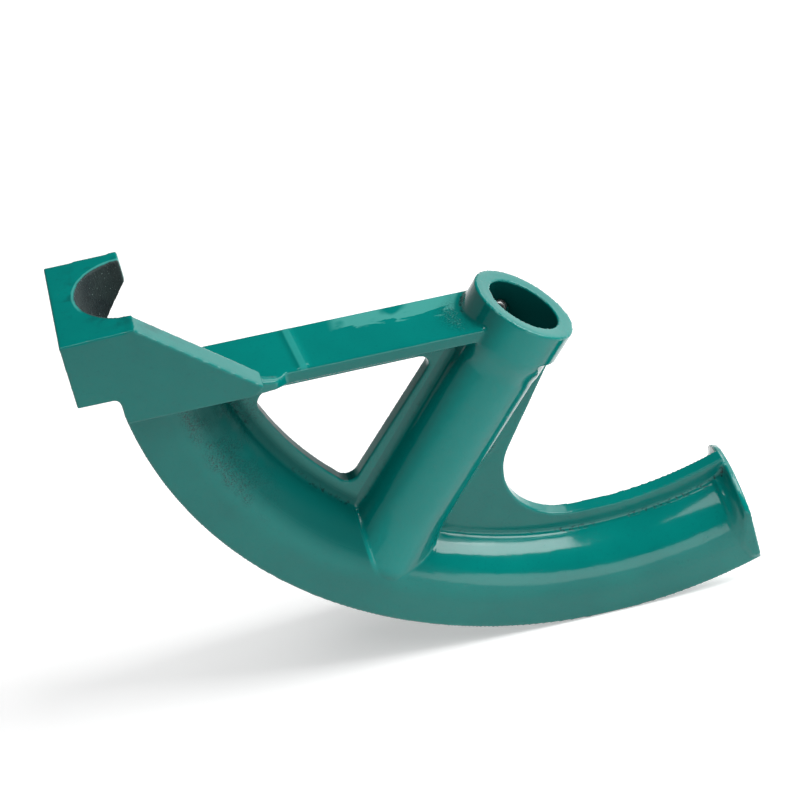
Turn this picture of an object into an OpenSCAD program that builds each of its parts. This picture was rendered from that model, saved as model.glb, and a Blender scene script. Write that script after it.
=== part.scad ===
// Hand conduit bender head: a one-piece iron casting with a curved shoe, a hook for the
// conduit, a foot bar, a web with a window and a socket for the handle, plus one set screw
// that locks the handle. X runs along the foot bar from hook to socket, Z is the direction
// in which the conduit leaves the hook, and Y is across. The origin is the centre of the
// socket's mouth. The shapes are drawn about the bend centre and moved into place at the end.

/* [Conduit shoe] */
// Outside diameter of the conduit that the shoe bends
conduit_d = 29.5; // [26:0.1:31]
// Play between the conduit and the groove on each side
groove_gap = 0.35; // [0.1:0.05:0.6]
// Radius of the bend, from its centre to the conduit's centreline
bend_r = 156; // [153:0.5:160]
// Wall of the shoe beside and above the conduit
shoe_wall = 4.7; // [4:0.1:5.4]
// How far the shoe's lips reach past the conduit's centreline
lip_depth = 11.4; // [9:0.1:13]
// Angle that the shoe runs round, from the hook's conduit direction to its end
shoe_angle = 111.5; // [108:0.5:114]
// Lean of the shoe's end face from the radial direction
end_lean = 10.5; // [6:0.5:12]
// Height of the crest rib above the shoe
rib_h = 7.8; // [6.5:0.1:9]
// Thickness of the end rim
rim_t = 2.4; // [2:0.1:6]
// Height of the end rim above the shoe
rim_h = 4.5; // [3:0.1:6]
// How far the end rim stands out beside the shoe
rim_side = 0.7; // [0.4:0.1:1.5]
// Corner radius of the end rim at the lips
rim_corner = 2.5; // [1:0.1:3]
// Fillet between the end rim and the shoe
rim_fillet = 5; // [2:0.1:6]

/* [Web] */
// Thickness of the web and of the crest rib
web_t = 5.6; // [4.5:0.1:7]
// Fillet where the web meets the shoe
shoe_fillet = 2; // [1:0.25:3]
// Fillet where the web meets the socket
boss_fillet = 3; // [1.5:0.25:4]
// Radius of the concave edge between the web and the crest rib
edge_r = 27; // [22:0.5:32]
// Lean of the web's free edge beside the socket
edge_lean = 25.7; // [24:0.1:28]
// Web left between the window's lower end and the socket
window_side = 6.9; // [6:0.1:9]
// Lean of the window's side that faces the socket
window_lean = 35; // [33.5:0.1:36]
// Web left between the window and the shoe
window_rim = 7; // [6:0.1:9]
// Web left between the window and the foot bar
window_top = 8; // [5:0.25:9]
// Corner radius of the window under the foot bar, beside the socket
window_r1 = 3.5; // [2:0.25:5]
// Corner radius of the window at its lowest point
window_r2 = 4.5; // [3:0.25:7]
// Corner radius of the window beside the shoe
window_r3 = 6; // [3:0.25:7]

/* [Foot bar] */
// Depth of the foot bar's top face below the bend centre
bar_drop = 27.5; // [26.8:0.1:29]
// Width of the foot bar
bar_w = 24.8; // [22:0.2:27]
// Thickness of the foot bar
bar_t = 5; // [4:0.1:6.5]
// Length of the flare that joins the foot bar to the cheek
flare_len = 24; // [18:0.5:28]
// Slope of the flare's underside
flare_slope = 28; // [24:1:30]
// Width of the low seam that crosses the foot bar
seam_w = 3; // [1:0.25:4]
// Height of that seam
seam_h = 0.5; // [0.3:0.1:1]

/* [Handle socket] */
// Diameter of the socket's bore
bore_d = 27.2; // [26:0.1:28]
// Depth of the socket's bore
bore_depth = 76; // [60:1:90]
// Outside diameter of the collar at the mouth
collar_d = 38.8; // [38:0.1:41]
// Length of the collar
collar_len = 12.3; // [11:0.1:14]
// Outside diameter of the socket below the collar
boss_d = 33.8; // [33:0.1:35]
// Length of the taper that leads from the collar to the socket's lower part
taper_len = 12; // [8:1:24]
// Radius of the relief that leaves a ledge under the collar's outer side
relief_r = 21; // [20.5:0.5:24]
// How much the socket widens where it meets the shoe
boss_flare = 2; // [1:0.1:2.5]
// Lean of the socket's axis from the hook's conduit direction
socket_lean = 33.2; // [32:0.1:34.5]
// Distance of the mouth's centre behind the bend centre, along the foot bar
socket_x = 22.3; // [21:0.1:24]
// Depth of the mouth's centre below the bend centre
socket_z = 29.5; // [29:0.1:31]

/* [Hook] */
// Width of the hook across the conduit
hook_w = 47; // [44:0.5:49]
// Radius of the hook's throat
throat_r = 16.1; // [15.6:0.1:16.6]
// Distance of the throat's centre from the bend's centreline, away from the shoe
throat_out = 1; // [0:0.1:2]
// Shift of the throat's centre from the bend's plane, away from the cheek
throat_side = 1.5; // [1.1:0.1:1.8]
// Metal outside the throat
hook_wall = 8.3; // [7.5:0.1:10]
// Draft of the hook's outer face
hook_draft = 3.5; // [1:0.1:5]
// Height of the hook's front edge above the bend centre
hook_front = 9.6; // [8:0.1:11]
// Slope of the hook's front face
front_slope = 2.5; // [0:0.1:4]
// Depth of the hook's rear edge below the bend centre
hook_back = 15.5; // [14:0.1:17]
// Height of the finger's corner above the bend centre
finger_z = 1.9; // [0:0.1:4]
// Slope of the finger's rear edge
finger_slope = 56; // [50:1:60]
// Depth of the cheek's rear edge below the bend centre
cheek_back = 26.2; // [24.5:0.1:26.4]
// Size of the rounded corner where the cheek's rear edge meets the hook
cheek_r = 2.5; // [1:0.1:3.5]
// Slope of the cheek's top face
cheek_slope = 41; // [40:0.1:42]

/* [Set screw] */
// Thread diameter of the set screw
screw_d = 8; // [6:0.5:8]
// Length of the set screw
screw_len = 12; // [10:0.5:16]
// Distance of the set screw below the socket's mouth
screw_down = 12.4; // [11:0.1:14]
// Width across the flats of the screw's hexagon socket
hex_af = 4; // [3:0.5:4]
// Depth of the screw's hexagon socket
hex_depth = 5; // [3:0.5:6]
// Play between the screw and its hole on each side
screw_gap = 0.05; // [0.05:0.05:0.3]

/* [Hidden] */
$fn = 96;
far = 500;
bore_r = bore_d / 2;
collar_r = collar_d / 2;
boss_r = boss_d / 2;
groove_r = conduit_d / 2 + groove_gap;
shell_r = groove_r + shoe_wall;
crest_r = bend_r - shell_r;
rib_r = crest_r - rib_h;
lip_r = bend_r + lip_depth;
bar_low = bar_drop + bar_t;
fillet_dip = 0.08;
throat_x = bend_r + throat_out;
cheek_in = throat_r - throat_side;
hook_x = throat_x + throat_r + hook_wall;
back_x = hook_x - (hook_front + hook_back) * tan(hook_draft);
front_x = bend_r + 2;
finger_x = bend_r - 0.2;
front_z = hook_front + (hook_x - front_x) * tan(front_slope);
// the cheek's top face runs down from the front face's inner corner to the foot bar
tip_x = front_x - (front_z + bar_drop - 4.5) / tan(cheek_slope);
axis_x = sin(socket_lean);
axis_z = cos(socket_lean);
// the web's free edge starts just inside the collar's lower outer corner
corner_x = -socket_x - collar_len * axis_x + (collar_r - 0.5) * axis_z;
corner_z = -socket_z - collar_len * axis_z - (collar_r - 0.5) * axis_x;
edge_off = corner_x * cos(edge_lean) - corner_z * sin(edge_lean);
// the socket's lower end stays inside the shoe's wall
seat_r = bend_r - 3;
// depth below the mouth at which the socket's axis meets the shoe
flare_low = bend_r - shell_r - socket_z * axis_z - socket_x * axis_x;
// where the shoe's lip meets the cheek's rear edge
lip_x = sqrt(lip_r * lip_r - cheek_back * cheek_back) - 0.3;
// distance from the bend centre to the window's side that faces the socket, which turns
// about a point 100 below the centre
side_off = -socket_x * axis_z + socket_z * axis_x - boss_r - window_side;
wall_off = (side_off - 100 * axis_x) / axis_z * cos(window_lean) + 100 * sin(window_lean);

// Centre of the arc of radius r that lies on the side s of a line and touches a circle of
// radius big about the bend centre from inside. The line leans by a and is at distance d.
function arc_centre(a, d, s, r, big) =
    let (off = d + s * r, along = -sqrt((big - r) * (big - r) - off * off))
    [off * cos(a) + along * sin(a), -off * sin(a) + along * cos(a)];

// Turns a drawing in the X-Z plane into a plate between two values of y
module plate(y0, y1) {
    translate([0, y1, 0]) rotate([90, 0, 0]) linear_extrude(y1 - y0) children();
}

// Sweeps a drawing round the bend between two angles from the hook's conduit direction. The
// drawing's X is the distance from the bend centre and its Y is across.
module sweep(a0, a1) {
    rotate([90, 0, 0]) rotate([0, 0, 180 + a0]) rotate_extrude(angle = a1 - a0, $fn = 180)
        children();
}

// Puts a shape whose Z is the socket's axis at the depth s below the mouth
module on_axis(s = 0) {
    translate([-socket_x, 0, -socket_z]) rotate([0, socket_lean, 0]) translate([0, 0, -s])
        children();
}

// Puts a shape at the centre of the conduit in the shoe's end face, with Z out of the face
// and X towards the lips
module at_end() {
    translate([-bend_r * cos(shoe_angle), 0, -bend_r * sin(shoe_angle)])
        rotate([0, 180 - shoe_angle + end_lean, 0]) children();
}

// Fillets of radius r in the two corners between a circle of radius big, centred on the
// origin, and a strip of thickness t that runs from it along -X. They dip a little into both.
module corner_fillets(r, big, t) {
    y = t / 2 + r - fillet_dip;
    x = sqrt((big + r - fillet_dip) * (big + r - fillet_dip) - y * y);
    difference() {
        polygon([[-x / 2, -y / 2], [-x / 2, y / 2], [-x, y], [-x, -y]]);
        translate([-x, y]) circle(r, $fn = 32);
        translate([-x, -y]) circle(r, $fn = 32);
    }
}

// Section of the shoe before its groove is cut, with the fillets to the crest rib
module shoe_section() {
    translate([bend_r, 0]) {
        intersection() {
            circle(shell_r);
            translate([-far, -far / 2]) square([far + 5, far]);
        }
        translate([0, -shell_r]) square([lip_depth, 2 * shell_r]);
        translate([-shell_r - shoe_fillet, -web_t / 2]) square([shell_r, web_t]);
        corner_fillets(shoe_fillet, shell_r, web_t);
    }
}

// The shoe before its groove is cut; it starts just inside the cheek
module shoe() {
    difference() {
        sweep(7, shoe_angle + 4) shoe_section();
        translate([-far, -far / 2, 0.6 - cheek_back]) cube(far);
    }
}

// Space for the conduit along the shoe, open between the lips
module groove() {
    sweep(6.5, shoe_angle + 10) translate([bend_r, 0]) {
        circle(groove_r);
        translate([0, -groove_r]) square([lip_depth + 1, 2 * groove_r]);
    }
}

// Rim round the shoe's end, with a fillet towards the shoe that fades out at the lips
module end_rim() {
    r = shell_r + rim_h;
    w = shell_r + rim_side;
    l = lip_depth - 0.2;
    at_end() translate([0, 0, -rim_t]) {
        linear_extrude(rim_t + 1) {
            intersection() {
                circle(r);
                translate([-r, -w]) square([r, 2 * w]);
            }
            offset(r = rim_corner, $fn = 24) offset(delta = -rim_corner)
                translate([-2 * rim_corner, -w]) square([l + 2 * rim_corner, 2 * w]);
        }
        intersection() {
            rotate_extrude() difference() {
                translate([0, -rim_fillet]) square([shell_r + rim_fillet, rim_fillet + 1]);
                translate([shell_r + rim_fillet, -rim_fillet]) circle(rim_fillet, $fn = 48);
            }
            translate([-far, -w + 0.05, -far / 2]) cube([far + l - rim_corner, 2 * w - 0.1, far]);
        }
    }
}

// Outline of the window between the foot bar, the shoe and the socket
module window() {
    top = bar_low + window_top;
    big = crest_r - window_rim;
    edge = big - fillet_dip;
    side_x = sin(window_lean);
    side_z = cos(window_lean);
    c1x = (wall_off - window_r1 - (top + window_r1) * side_x) / side_z;
    c1 = [c1x, -top - window_r1];
    c2 = arc_centre(window_lean, wall_off, -1, window_r2, big);
    c3z = -top - window_r3;
    c3 = [-sqrt((big - window_r3) * (big - window_r3) - c3z * c3z), c3z];
    translate(c1) circle(window_r1, $fn = 32);
    translate(c2) circle(window_r2, $fn = 48);
    translate(c3) circle(window_r3, $fn = 48);
    intersection() {
        circle(edge, $fn = 180);
        polygon([
            c1,
            [c1.x, -top],
            [c3.x, -top],
            c3,
            1.15 * c3,
            1.15 * c2,
            c2,
            [c2.x + window_r2 * side_z, c2.y - window_r2 * side_x],
            [c1.x + window_r1 * side_z, c1.y - window_r1 * side_x],
        ]);
    }
}

// Space beside the web's free edge, down to the crest rib
module beside_web() {
    c = arc_centre(edge_lean, edge_off, 1, edge_r, rib_r);
    t = [c.x - edge_r * cos(edge_lean), c.y + edge_r * sin(edge_lean)];
    translate(c) circle(edge_r);
    difference() {
        intersection() {
            circle(rib_r, $fn = 180);
            translate([edge_off * cos(edge_lean), -edge_off * sin(edge_lean)])
                rotate(-edge_lean) translate([0, -far / 2]) square([far, far]);
        }
        polygon([c, t + 3 * (t - c), 2 * (t + c), 3 * c, c]);
    }
}

// The web and the crest rib, one plate in the middle of the shoe
module web() {
    plate(-web_t / 2, web_t / 2) difference() {
        circle(crest_r + 2, $fn = 180);
        beside_web();
        window();
        translate([-far / 2, -bar_drop - 1]) square([far, far]);
        translate([-bend_r * cos(shoe_angle), -bend_r * sin(shoe_angle)])
            rotate(shoe_angle - end_lean - 90) translate([0.5 - rim_t, -far / 2]) square([far, far]);
        translate([-socket_x, -socket_z]) rotate(-socket_lean) translate([-40, -4])
            square([80, far]);
    }
}

// Foot bar with a flare that joins it to the cheek. The flare gets thinner towards the cheek
// and a short ramp on it runs up to the cheek's lower end.
module foot_bar() {
    left = crest_r + 2;
    w = bar_w / 2;
    start = -left + flare_len;
    top = -bar_drop;
    translate([-left, -w, -bar_low]) cube([left - socket_x - collar_r * 0.7, bar_w, bar_t]);
    difference() {
        translate([0, 0, 0.05 - bar_low]) linear_extrude(bar_t + 6) polygon([
            [-left + 0.3, 1 - w],
            [start + 4.6, 1 - w],
            [start + 4.6, -w],
            [start + 0.5, -w - 4.5],
            [start - 2.8, -w - 5.6],
            [start - 8, -shell_r],
            [-left + 0.3, -shell_r],
        ]);
        translate([-left, -w, -bar_low]) rotate([-flare_slope, 0, 0]) translate([-far / 2, -far, -far])
            cube(far);
        translate([-far, -cheek_in + 0.4, top]) cube(far);
        plate(-far, -cheek_in + 0.5) polygon([
            [-far, top],
            [-tip_x - 1.5, top],
            [-tip_x - 1.5, top + 3.5],
            [-tip_x + 7, top],
            [0, top],
            [0, 0],
            [-far, 0],
        ]);
    }
    translate([-104.3, 0, -bar_drop]) rotate([0, 0, -85]) translate([-w + 1, -seam_w / 2, -1])
        cube([2 * w - 2, seam_w, seam_h + 1]);
}

// Handle socket: the collar, the taper below it and the lower part that ends in the shoe.
// The taper is set back on the outer side, which leaves a ledge under the collar.
module socket() {
    on_axis(collar_len) cylinder(r = collar_r, h = collar_len);
    intersection() {
        on_axis(collar_len + taper_len) cylinder(r1 = boss_r, r2 = collar_r, h = taper_len);
        on_axis(far / 2) translate([boss_r - 0.3 - relief_r, 0, 0]) cylinder(r = relief_r, h = far);
    }
    difference() {
        intersection() {
            union() {
                on_axis(115) linear_extrude(110) {
                    circle(boss_r);
                    translate([-boss_r - boss_fillet, -web_t / 2]) square([boss_r, web_t]);
                    corner_fillets(boss_fillet, boss_r, web_t);
                }
                on_axis(flare_low + 14) cylinder(r1 = boss_r + 1.25 * boss_flare, r2 = boss_r - 0.2, h = 22);
            }
            plate(-hook_w, hook_w) circle(seat_r, $fn = 180);
        }
        on_axis(collar_len + 0.7) translate([-far - boss_r + 0.5, -far / 2, 0]) cube(far);
    }
}

// Hook block
module hook() {
    plate(-hook_w / 2, hook_w / 2) polygon([
        [-hook_x, hook_front],
        [-front_x + 1.5, front_z],
        [-finger_x, finger_z],
        [-finger_x - (hook_back + finger_z) / tan(finger_slope), -hook_back],
        [-back_x, -hook_back],
    ]);
}

// Cheek, which joins the hook to the shoe and the foot bar on the near side
module cheek() {
    plate(-hook_w / 2, -cheek_in) polygon([
        [-hook_x + 4, hook_front],
        [-front_x + 0.8, front_z],
        [-tip_x + 0.8, 4.5 - bar_drop],
        [-tip_x - 2.5, -cheek_back],
        [-lip_x, -cheek_back],
        [-lip_x - 0.8, -hook_back - cheek_r],
        [-lip_x - 0.8 - 0.3 * cheek_r, -hook_back - 0.3 * cheek_r],
        [-lip_x - 0.8 - cheek_r, -hook_back],
        [-hook_x + 4, -hook_back],
    ]);
    translate([-crest_r + 1, -shell_r + 2, -bar_drop - 1.7]) cube([9, shell_r - bar_w / 2, bar_drop - 22.3]);
}

// Space for the conduit inside the hook, open towards the shoe
module throat() {
    translate([-throat_x, throat_side, -hook_back - 1]) cylinder(r = throat_r, h = far);
    translate([-throat_x, -cheek_in, -hook_back - 1]) cube([20, 2 * throat_r, far]);
}

// The casting
module bender_head() {
    color([0.10, 0.48, 0.45]) translate([socket_x, 0, socket_z]) difference() {
        union() {
            shoe();
            end_rim();
            web();
            foot_bar();
            socket();
            hook();
            cheek();
        }
        groove();
        throat();
        at_end() translate([-far / 2, -far / 2, 0]) cube(far);
        on_axis(bore_depth) cylinder(r = bore_r, h = bore_depth + 20);
        on_axis(screw_down) rotate([-90, 0, 0]) cylinder(r = screw_d / 2 + screw_gap, h = 60, $fn = 48);
    }
}

// Set screw with a chamfered tip and a hexagon socket in its outer end
module set_screw() {
    r = screw_d / 2;
    color([0.75, 0.76, 0.78]) translate([socket_x, 0, socket_z]) on_axis(screw_down)
        rotate([-90, 0, 0]) translate([0, 0, bore_r]) difference() {
        union() {
            cylinder(r1 = r - 1, r2 = r, h = 1, $fn = 48);
            translate([0, 0, 1]) cylinder(r = r, h = screw_len - 1.5, $fn = 48);
            translate([0, 0, screw_len - 0.5]) cylinder(r1 = r, r2 = r - 0.5, h = 0.5, $fn = 48);
        }
        translate([0, 0, screw_len - hex_depth]) rotate(30)
            cylinder(d = hex_af / cos(30), h = hex_depth + 1, $fn = 6);
    }
}

bender_head();
set_screw();
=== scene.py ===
import math
from types import SimpleNamespace

import bmesh
import bpy
import numpy as np
from mathutils import Matrix, Vector

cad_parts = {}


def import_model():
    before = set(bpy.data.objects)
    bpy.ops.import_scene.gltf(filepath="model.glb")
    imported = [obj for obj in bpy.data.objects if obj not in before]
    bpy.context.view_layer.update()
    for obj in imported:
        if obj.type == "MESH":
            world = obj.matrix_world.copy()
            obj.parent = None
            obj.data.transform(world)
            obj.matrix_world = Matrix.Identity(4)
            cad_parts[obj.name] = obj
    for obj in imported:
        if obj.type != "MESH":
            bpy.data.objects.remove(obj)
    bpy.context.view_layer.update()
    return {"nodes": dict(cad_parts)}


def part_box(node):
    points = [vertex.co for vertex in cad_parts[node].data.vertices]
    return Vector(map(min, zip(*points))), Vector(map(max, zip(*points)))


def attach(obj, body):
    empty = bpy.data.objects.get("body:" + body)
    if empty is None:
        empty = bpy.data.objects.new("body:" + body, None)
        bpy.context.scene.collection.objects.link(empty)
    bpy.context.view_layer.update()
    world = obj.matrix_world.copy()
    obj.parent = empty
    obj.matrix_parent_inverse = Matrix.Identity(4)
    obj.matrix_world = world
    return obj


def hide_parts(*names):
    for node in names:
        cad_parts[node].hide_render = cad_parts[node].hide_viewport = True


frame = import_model()
scene = bpy.context.scene
head = frame["nodes"]["bender_head"]

# --- the part's values, in metres, in the part's frame
BEND_X, BEND_Z, BEND_R = 0.0223, 0.0295, 0.156  # centre of the bend, radius to the conduit's middle
SHOE_R, GROOVE_R = 0.0198, 0.0151  # the shoe's round section, outside and inside
LIPS_R, CREST_R = 0.1674, 0.1284  # the shoe's lips and the crest rib's top, from the bend centre
LEAN = math.radians(33.2)  # the handle socket's, whose mouth has its centre in the origin
AXIS = np.array((math.sin(LEAN), 0.0, math.cos(LEAN)))
BORE_R, BORE_END = 0.0136, -0.076  # ends are measured along the socket's axis
COLLAR_R, COLLAR_END = 0.0194, -0.0123
TAPER_LEN = 0.0120
BOSS_R, FOOT = 0.0169, -0.0880  # the socket's lower part, and where its foot begins to widen
THROAT_X, THROAT_Y, THROAT_R = BEND_X - 0.157, 0.0015, 0.0161
HOOK_Z = 0.012  # the throat's wall starts at this height
BAR_TOP = 0.002
FLOOR_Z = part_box("bender_head")[0].z

# --- the casting's skin
VOXEL = 0.0005
STEPS, EVEN_STEPS = 22, 4  # smoothing steps in all, and those of them that act on every form
COAT = 0.00012  # the paint's thickness


# --- node helpers
class Nodes:
    """Short calls that add shader nodes to one node tree."""

    def __init__(self, tree):
        self.tree = tree
        self.tree.nodes.clear()

    def add(self, kind, inputs=None, **props):
        node = self.tree.nodes.new(kind)
        for key, value in props.items():
            setattr(node, key, value)
        for key, value in (inputs or {}).items():
            if isinstance(value, bpy.types.NodeSocket):
                self.tree.links.new(value, node.inputs[key])
            else:
                node.inputs[key].default_value = value
        return node

    def math(self, op, a, b=0.0, c=0.0):
        return self.add("ShaderNodeMath", {0: a, 1: b, 2: c}, operation=op).outputs[0]

    def times(self, first, *rest):
        for value in rest:
            first = self.math("MULTIPLY", first, value)
        return first

    def plus(self, first, *rest):
        for value in rest:
            first = self.math("ADD", first, value)
        return first

    def most(self, first, *rest):
        for value in rest:
            first = self.math("MAXIMUM", first, value)
        return first

    def length(self, a, b):
        return self.math("SQRT", self.math("MULTIPLY_ADD", a, a, self.times(b, b)))

    def ramp(self, value, lo, hi, a=0.0, b=1.0):
        """A smooth step from a at lo to b at hi."""
        inputs = {0: value, 1: lo, 2: hi, 3: a, 4: b}
        return self.add("ShaderNodeMapRange", inputs, interpolation_type="SMOOTHSTEP").outputs[0]

    def noise(self, coords, scale, detail=3.0, rough=0.5, distort=0.0):
        inputs = {"Vector": coords, "Scale": scale, "Detail": detail}
        inputs.update({"Roughness": rough, "Distortion": distort})
        return self.add("ShaderNodeTexNoise", inputs).outputs["Fac"]

    def mix(self, fac, a, b):
        node = self.add("ShaderNodeMix", {0: fac, 6: a, 7: b}, data_type="RGBA")
        return node.outputs[2]

    def lay(self, mask, strength, base, colour):
        """The base with a colour laid over it where the mask is."""
        return self.mix(self.times(mask, strength), base, colour)


def new_material(name):
    mat = bpy.data.materials.new(name)
    mat.use_nodes = True
    return mat, Nodes(mat.node_tree)


def rgb(*levels):
    """Linear colour from an sRGB one in 0..255."""
    linear = (c / 255 / 12.92 if c <= 10 else ((c / 255 + 0.055) / 1.055) ** 2.4 for c in levels)
    return (*linear, 1.0)


# --- paint over the casting
def places(n):
    """Where a point of the surface is, in the measures that the masks use."""
    obj = n.add("ShaderNodeTexCoord").outputs["Object"]
    x, y, z = n.add("ShaderNodeSeparateXYZ", {0: obj}).outputs
    # along the socket's axis, away from it, and to the right of it in the web's plane
    along = n.math("MULTIPLY_ADD", x, AXIS[0], n.times(z, AXIS[2]))
    square = n.add("ShaderNodeVectorMath", {0: obj, 1: obj}, operation="DOT_PRODUCT")
    off = n.math("SUBTRACT", square.outputs["Value"], n.times(along, along))
    off = n.math("SQRT", off)
    right = n.math("MULTIPLY_ADD", x, AXIS[2], n.times(z, -AXIS[0]))
    # beside the bend centre and away from it
    bx, bz = n.math("SUBTRACT", x, BEND_X), n.math("SUBTRACT", z, BEND_Z)
    ring = n.length(bx, bz)
    # from the middle of the hook's throat, and the same with a ragged line
    dist = n.length(n.math("SUBTRACT", x, THROAT_X), n.math("SUBTRACT", y, THROAT_Y))
    wobble = n.noise(obj, 400.0)
    rim = n.math("MULTIPLY_ADD", wobble, 0.0006, dist)
    return SimpleNamespace(
        obj=obj, x=x, y=y, z=z, along=along, off=off, right=right, bx=bx, ring=ring, dist=dist,
        wobble=wobble, rim=rim, side=n.math("ABSOLUTE", y),
        form=n.add("ShaderNodeAttribute", attribute_name="hollow").outputs["Fac"],
    )


def shaded_places(n, p):
    """Masks for painted shade: the shoe's flank beside the web, where the web's shadow falls, and the
    bore and the window's wall.
    """
    bore = n.times(n.ramp(p.off, BORE_R + 0.0005, BORE_R), n.ramp(p.along, -0.0002, -0.0012))
    shaded_flank = n.times(
        n.ramp(p.ring, 0.1515, 0.1430),
        n.ramp(p.bx, -0.045, -0.105),
        n.ramp(p.z, BAR_TOP, 0.0),
        n.ramp(p.side, SHOE_R + 0.0006, SHOE_R),
        n.ramp(p.ring, 0.1300, 0.1340),
        n.ramp(p.off, 0.0186, 0.0198),
    )
    inside = n.times(
        n.ramp(p.x, -0.040, -0.044),
        n.ramp(p.ring, 0.1240, 0.1270),
        n.ramp(p.z, -0.0105, -0.0120),
        n.ramp(p.side, 0.0024, 0.0018),
    )
    return bore, shaded_flank, n.most(bore, inside)


def sandy_places(n, p):
    """Beside the cheek, on the bar round the collar and down the socket's right edge."""
    cheek = n.times(
        n.ramp(p.ring, 0.1530, 0.1490), n.ramp(p.bx, -0.112, -0.132), n.ramp(p.z, BAR_TOP, 0.0)
    )
    near = n.times(
        n.ramp(p.off, 0.0300, 0.0200),
        n.ramp(p.along, -0.010, -0.0135),
        n.ramp(p.z, BAR_TOP - 0.0012, BAR_TOP - 0.0004),
    )
    seam = n.times(
        n.ramp(p.right, 0.0148, 0.0160),
        n.ramp(p.off, 0.0205, 0.0180),
        n.ramp(p.along, -0.022, -0.030),
    )
    patch = n.ramp(n.noise(p.obj, 90.0, 2.0), 0.38, 0.62)
    return n.times(n.most(cheek, near, seam), patch)


def raw_throat(n, p):
    """The throat's wall with a ragged outline."""
    low = n.math("MULTIPLY_ADD", p.wobble, -0.0030, p.z)
    far = n.math("MULTIPLY_ADD", p.wobble, 0.0050, p.x)
    return n.times(
        n.ramp(p.rim, THROAT_R + 0.0012, THROAT_R + 0.0005),
        n.ramp(low, 0.0105, 0.0120),
        n.ramp(far, THROAT_X + 0.0145, THROAT_X + 0.0115),
    )


def hook_colour(n, p, base):
    """Darker mottled blotches round the throat and a pale lip at its edge."""
    above = n.ramp(p.z, HOOK_Z, HOOK_Z + 0.0015)
    around = n.ramp(p.dist, THROAT_R + 0.011, THROAT_R + 0.001)
    blotch = n.times(around, above, n.ramp(n.noise(p.obj, 130.0, 4.0, 0.6), 0.48, 0.66))
    base = n.lay(blotch, 0.55, base, rgb(6, 74, 72))
    back = n.math("SUBTRACT", p.y, n.times(p.x, 0.5))
    edge = n.ramp(p.rim, THROAT_R + 0.0020, THROAT_R + 0.0014)
    lip = n.times(edge, above, n.ramp(back, 0.066, 0.074))
    return n.lay(lip, 0.45, base, rgb(86, 176, 168))


def socket_colour(n, p, base, bore):
    """Painted light and shade on the socket: lighter on its open side, and painted shade on the side
    beside the web.
    """
    column = n.times(
        n.ramp(p.off, COLLAR_R + 0.0010, COLLAR_R + 0.0003),
        n.ramp(p.along, -0.0002, -0.0012),
        n.ramp(p.right, 0.0090, 0.0030),
        n.ramp(p.ring, 0.1515, 0.1465),
    )
    # painted light on the socket's open side and painted shade on its side beside the web
    light_and_shade = n.mix(n.ramp(p.right, -0.0165, -0.0095), rgb(0, 96, 91), rgb(0, 132, 125))
    return n.lay(column, n.math("SUBTRACT", 0.9, bore), base, light_and_shade)


def bar_colour(n, p, base):
    """On the bar's top, a painted highlight along the seam and lighter streaky patches towards the back.
    """
    deck = n.times(
        n.ramp(p.z, BAR_TOP - 0.0008, BAR_TOP - 0.0004),
        n.ramp(p.z, BAR_TOP + 0.0012, BAR_TOP + 0.0008),
    )
    seam = n.math("ABSOLUTE", n.math("MULTIPLY_ADD", p.y, 0.0875, n.plus(p.x, 0.0820)))
    # painted highlight along the raised seam
    base = n.lay(n.times(deck, n.ramp(seam, 0.0016, 0.0008)), 0.4, base, rgb(60, 160, 152))
    across = n.add("ShaderNodeMapping", {"Vector": p.obj, "Scale": (1.0, 3.0, 1.0)}).outputs[0]
    streak = n.math("MULTIPLY_ADD", n.noise(across, 85.0, 3.0, 0.5, 0.4), 0.020, p.y)
    # lighter streaky patches towards the bar's back
    pale_streak = n.times(
        deck,
        n.ramp(p.x, -0.069, -0.064),
        n.ramp(p.off, 0.0210, 0.0225),
        n.ramp(streak, 0.0135, 0.0150),
        n.ramp(n.noise(p.obj, 62.0, 2.0), 0.36, 0.46),
    )
    return n.lay(pale_streak, 0.65, base, rgb(78, 158, 150))


def iron_colour(n, p, grit):
    """Dark, raw iron with paler patches and glints."""
    iron = n.mix(n.ramp(grit, 0.35, 0.7), rgb(14, 26, 28), rgb(34, 50, 52))
    iron = n.mix(n.ramp(n.noise(p.obj, 70.0, 2.0), 0.4, 0.65, 0.0, 0.6), iron, rgb(46, 60, 58))
    glint = n.ramp(n.noise(p.obj, 2600.0, 1.0), 0.73, 0.78)
    return n.mix(glint, iron, rgb(150, 175, 172))


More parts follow.
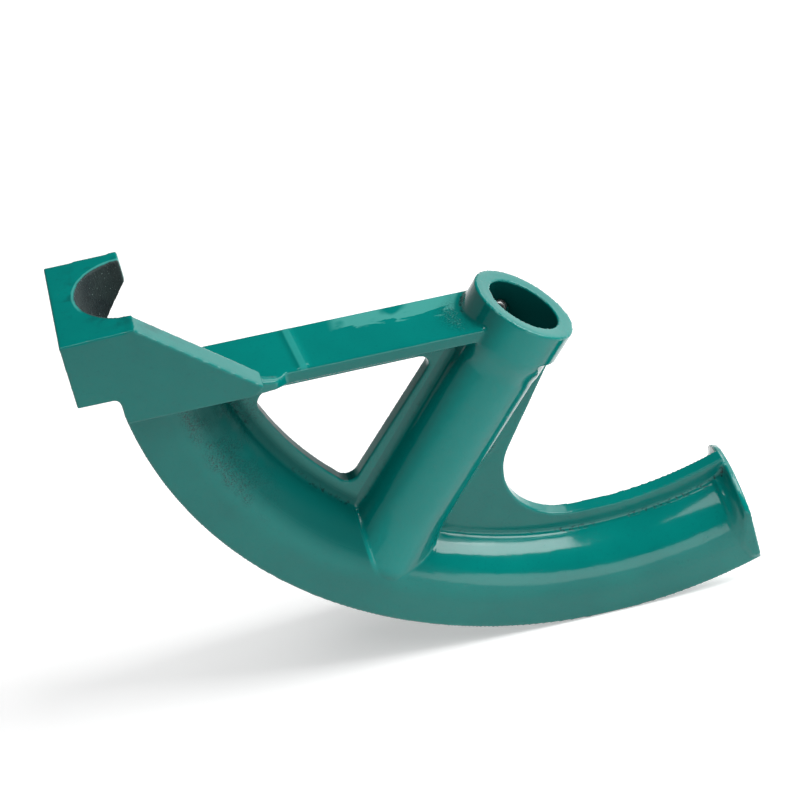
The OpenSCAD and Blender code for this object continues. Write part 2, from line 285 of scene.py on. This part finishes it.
def casting_material():
    mat, n = new_material("painted_casting_look")
    p = places(n)
    edge, hollow_shade = n.ramp(p.form, -0.15, -0.7), n.ramp(p.form, 0.1, 0.8)
    throat = raw_throat(n, p)
    bore, shaded_flank, recess_shade = shaded_places(n, p)
    sand = sandy_places(n, p)
    grit = n.noise(p.obj, 1900.0, 2.0, 0.6)
    fine = n.noise(p.obj, 900.0, 2.0)
    # dark beads and pits in the corners, where sand stuck to the casting
    beads = n.times(
        n.ramp(p.form, 0.10, 0.35),
        n.ramp(n.noise(p.obj, 620.0, 3.0, 0.6), 0.52, 0.58),
        n.ramp(n.noise(p.obj, 48.0, 2.0), 0.42, 0.52),
    )
    chip = n.times(n.ramp(n.noise(p.obj, 260.0, 4.0, 0.65), 0.66, 0.72), edge)

    # colour: even teal, with painted shade in hollows, on the shaded flank, in the bore and on the
    # window's wall, and a painted highlight on edges
    large = n.noise(p.obj, 28.0, 3.0, 0.55)
    base = n.mix(n.ramp(large, 0.3, 0.7), rgb(0, 109, 103), rgb(0, 116, 109))
    base = n.mix(n.ramp(fine, 0.55, 0.8, 0.0, 0.35), base, rgb(0, 94, 90))
    # painted shade in the hollows
    base = n.lay(hollow_shade, 0.45, base, rgb(0, 62, 59))
    # painted shade: the web's shadow on the shoe's flank
    base = n.lay(shaded_flank, 0.8, base, rgb(0, 80, 76))
    # painted shade in the bore and on the window's wall
    base = n.lay(recess_shade, 0.9, base, rgb(0, 58, 56))
    base = socket_colour(n, p, base, bore)
    base = hook_colour(n, p, base)
    base = bar_colour(n, p, base)
    base = n.lay(beads, 0.8, base, rgb(2, 44, 43))
    # painted highlight on the edges
    base = n.lay(edge, 0.3, base, rgb(70, 152, 146))
    base = n.lay(sand, n.ramp(grit, 0.48, 0.60, 0.0, 0.9), base, rgb(4, 58, 56))
    base = n.mix(throat, base, iron_colour(n, p, grit))
    base = n.lay(chip, 0.8, base, rgb(22, 52, 50))

    # gloss: wet-looking paint, duller on the shaded flank, in the bore and on the window's wall, and
    # rough iron
    dull = n.most(shaded_flank, recess_shade)
    rough = n.ramp(n.noise(p.obj, 60.0), 0.3, 0.7, 0.08, 0.13)
    rough = n.math("MULTIPLY_ADD", n.ramp(fine, 0.5, 0.8), 0.05, rough)
    rough = n.most(rough, n.times(throat, 0.62), n.times(dull, 0.34))
    gloss = n.math("MULTIPLY_ADD", dull, -0.2, 0.3)

    # the cast skin under the paint: long waves, grain, pits, sand and beads
    height = n.plus(
        n.noise(p.obj, 55.0, 2.0),
        n.times(n.noise(p.obj, 330.0, 3.0, 0.55), 0.22),
        n.times(fine, 0.05),
        n.ramp(n.noise(p.obj, 420.0, 2.0, 0.5, 0.3), 0.70, 0.80, 0.0, -0.25),
        n.times(grit, throat, 1.6),
        n.times(n.noise(p.obj, 1000.0), sand, 3.2),
        n.times(beads, -0.5),
    )
    bump = n.add("ShaderNodeBump", {"Strength": 0.6, "Distance": 0.00028, "Height": height})
    look = {"Base Color": base, "Roughness": rough, "IOR": 1.5, "Specular IOR Level": gloss}
    shader = n.add("ShaderNodeBsdfPrincipled", {**look, "Normal": bump.outputs[0]})
    n.add("ShaderNodeOutputMaterial", {0: shader.outputs[0]})
    return mat


# --- zinc plated steel
def zinc_material():
    mat, n = new_material("zinc_screw_look")
    obj = n.add("ShaderNodeTexCoord").outputs["Object"]
    cloud = n.noise(obj, 300.0)
    fine = n.noise(obj, 2500.0, 2.0)
    base = n.mix(n.ramp(cloud, 0.3, 0.7), (0.62, 0.62, 0.62, 1), (0.74, 0.74, 0.72, 1))
    rough = n.ramp(cloud, 0.3, 0.7, 0.34, 0.46)
    bump = n.add("ShaderNodeBump", {"Strength": 0.35, "Distance": 0.00003, "Height": fine})
    look = {"Base Color": base, "Metallic": 0.55, "Roughness": rough}
    shader = n.add("ShaderNodeBsdfPrincipled", {**look, "Normal": bump.outputs[0]})
    n.add("ShaderNodeOutputMaterial", {0: shader.outputs[0]})
    return mat


# --- the casting's skin: the CAD solid with the rounded edges and full fillets of a casting
def from_axis(co):
    """Where points are along the socket's axis and how far from it, with the vectors between."""
    along = co @ AXIS
    radial = co - along[:, None] * AXIS
    return along, radial, np.linalg.norm(radial, axis=1)


def snap(co):
    """Puts points that lie on one of the part's round faces exactly on it, off the CAD's facets."""
    along, radial, dist = from_axis(co)

    def onto(near, radius):
        co[near] = along[near, None] * AXIS + radial[near] * (radius / dist[near])[:, None]

    for r, lo, hi in (
        (BORE_R, BORE_END + 0.001, 0.001),
        (COLLAR_R, COLLAR_END + 0.0003, -0.0002),
        (BOSS_R, FOOT, COLLAR_END - TAPER_LEN + 0.0003),
    ):
        onto((np.abs(dist - r) < 0.00010) & (along > lo) & (along < hi), r)
    # the taper under the collar swells gently, and not as a cone
    grow = COLLAR_R - BOSS_R
    t = np.clip((along - COLLAR_END + TAPER_LEN) / TAPER_LEN, 0.0, 1.0)
    near = (np.abs(dist - BOSS_R - grow * t) < 0.00012) & (t > 0.0) & (t < 1.0)
    onto(near, (BOSS_R + grow * t * t * (3 - 2 * t))[near])
    # the foot's cone, which starts 4.9 mm further down, gets a curved start
    t = FOOT - along
    cone = np.maximum(BOSS_R, BOSS_R - 0.0002 + 0.12273 * (t - 0.0033))
    near = (np.abs(dist - cone) < 0.00012) & (t > 0.0) & (t < 0.0100)
    onto(near, (BOSS_R + 6.1365 * t * t)[near])
    # the hook's throat
    rel = co[:, :2] - np.array([THROAT_X, THROAT_Y])
    dist = np.hypot(rel[:, 0], rel[:, 1])
    near = (np.abs(dist - THROAT_R) < 0.00010) & (co[:, 2] > HOOK_Z)
    co[near, :2] = np.array([THROAT_X, THROAT_Y]) + rel[near] * (THROAT_R / dist[near])[:, None]
    # the crest rib's top and the lips, then the shoe's and the groove's round section
    rel = co - np.array((BEND_X, 0.0, BEND_Z))
    ring = np.hypot(rel[:, 0], rel[:, 2])

    def to_ring(near, radius):
        scale = radius / ring[near]
        co[near, 0] = BEND_X + rel[near, 0] * scale
        co[near, 2] = BEND_Z + rel[near, 2] * scale

    for r in (CREST_R, LIPS_R):
        to_ring((np.abs(ring - r) < 0.00008) & (np.abs(co[:, 1]) < 0.022), r)
    for r in (SHOE_R, GROOVE_R):
        u, v = ring - BEND_R, co[:, 1].copy()
        dist = np.hypot(u, v)
        near = (np.abs(dist - r) < 0.00010) & (u < 0.0005)
        k = r / dist[near]
        to_ring(near, BEND_R + u[near] * k)
        co[near, 1] = v[near] * k
    return co


def uneven(co, hollow):
    """The coat, with a sand casting's long low waves and a ragged line on the outer edges."""
    x, y, z = (co * 1000).T
    waves = np.sin(0.43 * x + 0.7 * y + 1.1) * np.sin(0.51 * z - 0.33 * y + 0.4)
    waves += np.sin(0.23 * x - 0.61 * z + 2.0) * np.sin(0.37 * y + 0.19 * x)
    ragged = np.sin(1.31 * x + 0.9 * z) * np.sin(1.13 * y - 0.57 * x + 0.8)
    ragged += np.sin(2.3 * z - 1.9 * x + 0.3)
    edge = np.clip((-hollow - 0.25) / 0.5, 0.0, 1.0)
    off = from_axis(co)[2]
    outside_bore = np.clip((off - BORE_R - 0.0014) / 0.0020, 0.0, 1.0)
    return (COAT + 0.000010 * waves + 0.000040 * edge * ragged) * outside_bore


def voxel_mesh():
    """The CAD head as a mesh of small, even faces."""
    work = bpy.data.objects.new("work", head.data.copy())
    scene.collection.objects.link(work)
    mod = work.modifiers.new("voxels", "REMESH")
    mod.mode, mod.voxel_size, mod.use_smooth_shade = "VOXEL", VOXEL * 1, True
    graph = bpy.context.evaluated_depsgraph_get()
    mesh = bpy.data.meshes.new_from_object(work.evaluated_get(graph))
    bpy.data.objects.remove(work)
    return mesh


def cast_skin(mat):
    mesh = voxel_mesh()
    count = len(mesh.vertices)
    co, normal = np.empty(count * 3), np.empty(count * 3)
    mesh.vertices.foreach_get("co", co)
    co = snap(co.reshape(-1, 3))
    edges = np.empty(len(mesh.edges) * 2, np.int64)
    mesh.edges.foreach_get("vertices", edges)
    a, b = edges.reshape(-1, 2).T
    degree = np.bincount(np.concatenate([a, b]), minlength=count).astype(float)

    def pull(values):
        """From each point to the mean of its neighbours, for each column."""
        near = [np.bincount(a, v[b], count) + np.bincount(b, v[a], count) for v in values.T]
        return np.stack(near, axis=1) / degree[:, None] - values

    start = co.copy()
    # the socket's foot meets the shoe in a tight corner, which is filled less
    off = from_axis(co)[2]
    ring = np.hypot(co[:, 0] - BEND_X, co[:, 2] - BEND_Z)
    foot = np.clip((0.0225 - off) / 0.002, 0.0, 1.0) * np.clip((ring - 0.1310) / 0.002, 0.0, 1.0)
    fill = 1.0 - 0.9 * foot
    for step in range(STEPS):
        if step % 6 == 0:
            mesh.vertices.foreach_set("co", co.ravel())
            mesh.update()
            mesh.vertex_normals.foreach_get("vector", normal)
            n = normal.reshape(-1, 3)
        d = pull(co)
        if step >= EVEN_STEPS:
            # later steps only fill hollows, so that fillets come out larger than edge radii
            out = np.einsum("ij,ij->i", d, n)
            d = d * (np.clip(out / 0.00002 - 0.3, 0.0, 1.0) * fill)[:, None]
        co += 0.5 * d
        if step < EVEN_STEPS:
            co = snap(co)
    hollow = np.clip(np.einsum("ij,ij->i", co - start, n) / 0.0004, -1.0, 1.0)
    for _ in range(6):
        hollow += 0.5 * pull(hollow[:, None])[:, 0]
    co += n * uneven(co, hollow)[:, None]
    mesh.vertices.foreach_set("co", co.ravel())
    hollows = mesh.attributes.new("hollow", "FLOAT", "POINT").data
    hollows.foreach_set("value", hollow.astype(np.float32))
    mesh.update()
    mesh.name = "casting_skin"
    mesh.materials.clear()
    mesh.materials.append(mat)
    piece = bpy.data.objects.new("casting_skin", mesh)
    scene.collection.objects.link(piece)
    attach(piece, "casting")
    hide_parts("bender_head")


# --- set screw with a cut thread, a chamfered tip and a hexagon socket
TURN = 48  # points round the screw
PITCH, THREAD_DEPTH, ROWS_A_PITCH = 0.00125, 0.00062, 24
SCREW_R, HEX_AF = 0.004, 0.004


def threaded_screw(mat):
    lo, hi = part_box("set_screw")
    c = (lo + hi) / 2
    length = hi.y - lo.y
    rows = int(length / PITCH * ROWS_A_PITCH)
    angles = [2 * math.pi * i / TURN for i in range(TURN)]
    bm = bmesh.new()

    def ring(y, radii):
        return [
            bm.verts.new((c.x + r * math.cos(a), y, c.z + r * math.sin(a)))
            for a, r in zip(angles, radii)
        ]

    def round_ring(y, r):
        return ring(y, [r] * TURN)

    def hex_ring(y, scale=1.0):
        turned = [a % (math.pi / 3) - math.pi / 6 for a in angles]
        return ring(y, [HEX_AF / 2 / math.cos(a) * scale for a in turned])

    rings = []
    for k in range(rows + 1):
        y = length * k / rows
        tip = min(1.0, y / 0.001)
        end = min(1.0, (length - y) / 0.0005)
        limit = SCREW_R - 0.001 * (1 - tip) - 0.0005 * (1 - end)
        phases = [(y / PITCH - i / TURN) % 1.0 for i in range(TURN)]
        flanks = [max(0.0, 1.0 - abs(phase - 0.5) / 0.44) for phase in phases]
        rings.append(ring(lo.y + y, [min(limit, SCREW_R - THREAD_DEPTH * f) for f in flanks]))
    back = [
        hex_ring(hi.y, 1.18),
        hex_ring(hi.y - 0.0003),
        hex_ring(hi.y - 0.0048),
        round_ring(hi.y - 0.0056, 0.0004),
    ]
    front = [round_ring(lo.y + 0.0004, 0.0015), round_ring(lo.y, 0.0021)]
    whole = front + rings + back
    for a, b in zip(whole, whole[1:]):
        for i in range(TURN):
            j = (i + 1) % TURN
            bm.faces.new((a[i], a[j], b[j], b[i]))
    bm.faces.new(list(reversed(whole[0])))
    bm.faces.new(whole[-1])
    bmesh.ops.recalc_face_normals(bm, faces=bm.faces)
    mesh = bpy.data.meshes.new("set_screw_threaded")
    bm.to_mesh(mesh)
    bm.free()
    piece = bpy.data.objects.new("set_screw_threaded", mesh)
    scene.collection.objects.link(piece)
    mesh.materials.append(mat)
    for face in mesh.polygons:
        face.use_smooth = True
    mesh.set_sharp_from_angle(angle=math.radians(35))
    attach(piece, "screw")
    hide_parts("set_screw")


# --- floor, world, lamps, camera
def floor():
    """A pale matte floor, lifted to white for what looks at it and not for the light on the part."""
    bm = bmesh.new()
    bmesh.ops.create_grid(bm, x_segments=2, y_segments=2, size=4.0)
    mesh = bpy.data.meshes.new("floor")
    bm.to_mesh(mesh)
    bm.free()
    obj = bpy.data.objects.new("floor", mesh)
    obj.location = (0, 0, FLOOR_Z - 0.0003)
    scene.collection.objects.link(obj)
    mat, n = new_material("floor_look")
    cloud = n.ramp(n.noise(n.add("ShaderNodeTexCoord").outputs["Object"], 3.0), 0.3, 0.7)
    tint = n.mix(cloud, (0.72, 0.72, 0.72, 1), (0.74, 0.74, 0.74, 1))
    matte = n.add("ShaderNodeBsdfDiffuse", {"Color": tint})
    lift = n.add("ShaderNodeEmission", {"Color": (1, 1, 1, 1), "Strength": 0.42})
    none = n.add("ShaderNodeEmission", {"Color": (0, 0, 0, 1), "Strength": 0.0})
    path = n.add("ShaderNodeLightPath").outputs
    seen = n.most(*(path[f"Is {kind} Ray"] for kind in ("Camera", "Glossy", "Transmission")))
    glow = n.add("ShaderNodeMixShader", {0: seen, 1: none.outputs[0], 2: lift.outputs[0]})
    both = n.add("ShaderNodeAddShader", {0: matte.outputs[0], 1: glow.outputs[0]})
    n.add("ShaderNodeOutputMaterial", {0: both.outputs[0]})
    mesh.materials.append(mat)


def world():
    """A studio: pale at the horizon, dark overhead."""
    w = bpy.data.worlds.new("studio")
    w.use_nodes = True
    scene.world = w
    n = Nodes(w.node_tree)
    coords = n.add("ShaderNodeTexCoord").outputs["Generated"]
    up = n.add("ShaderNodeSeparateXYZ", {0: coords}).outputs[2]
    level = n.ramp(up, 0.15, 0.45, 0.45, 0.05)
    back = n.add("ShaderNodeBackground", {"Color": (1, 1, 1, 1), "Strength": level})
    n.add("ShaderNodeOutputWorld", {0: back.outputs[0]})


MIDDLE = Vector((-0.047, 0.0, -0.05))  # of the part, where every lamp points
LAMPS = {  # azimuth (from +Y towards +X) and height in degrees, distance, size, power
    "key_lamp": (95, 47, 1.1, (0.54, 0.80), 14.8),
    "side_lamp": (54, 34, 1.3, (1.0, 0.86), 7.0),
    "top_lamp": (-130, 67, 1.1, (0.46, 0.56), 4.0),
    "front_lamp": (162, 3, 1.3, (0.74, 0.74), 5.2),
    "back_lamp": (42, 6, 1.4, (1.0, 0.4), 1.2),
}


def lamps():
    for name, (azimuth, height, distance, size, power) in LAMPS.items():
        data = bpy.data.lights.new(name, "AREA")
        data.shape = "RECTANGLE"
        data.size, data.size_y = size
        data.energy = power
        obj = bpy.data.objects.new(name, data)
        a, h = math.radians(azimuth), math.radians(height)
        way = Vector((math.sin(a) * math.cos(h), math.cos(a) * math.cos(h), math.sin(h)))
        obj.location = MIDDLE + way * distance
        obj.rotation_euler = (-way).to_track_quat("-Z", "Y").to_euler()
        scene.collection.objects.link(obj)


def camera():
    """Placed where a perspective fit of the object's outlines puts the photograph's camera."""
    data = bpy.data.cameras.new("camera")
    data.lens, data.sensor_width, data.sensor_fit = 97.4, 36.0, "HORIZONTAL"
    data.clip_start, data.clip_end = 0.01, 50.0
    right = Vector((0.9687, -0.2325, -0.0874)).normalized()
    ahead = Vector((0.1295, 0.7729, -0.6211)).normalized()
    up = right.cross(ahead).normalized()
    right = ahead.cross(up).normalized()
    pose = Matrix((right, up, -ahead)).transposed().to_4x4()
    pose.translation = (-0.1466, -0.5921, 0.4457)
    obj = bpy.data.objects.new("camera", data)
    obj.matrix_world = pose
    scene.collection.objects.link(obj)
    scene.camera = obj


scene.view_settings.view_transform = "Standard"
camera()
world()
floor()
lamps()
cast_skin(casting_material())
threaded_screw(zinc_material())
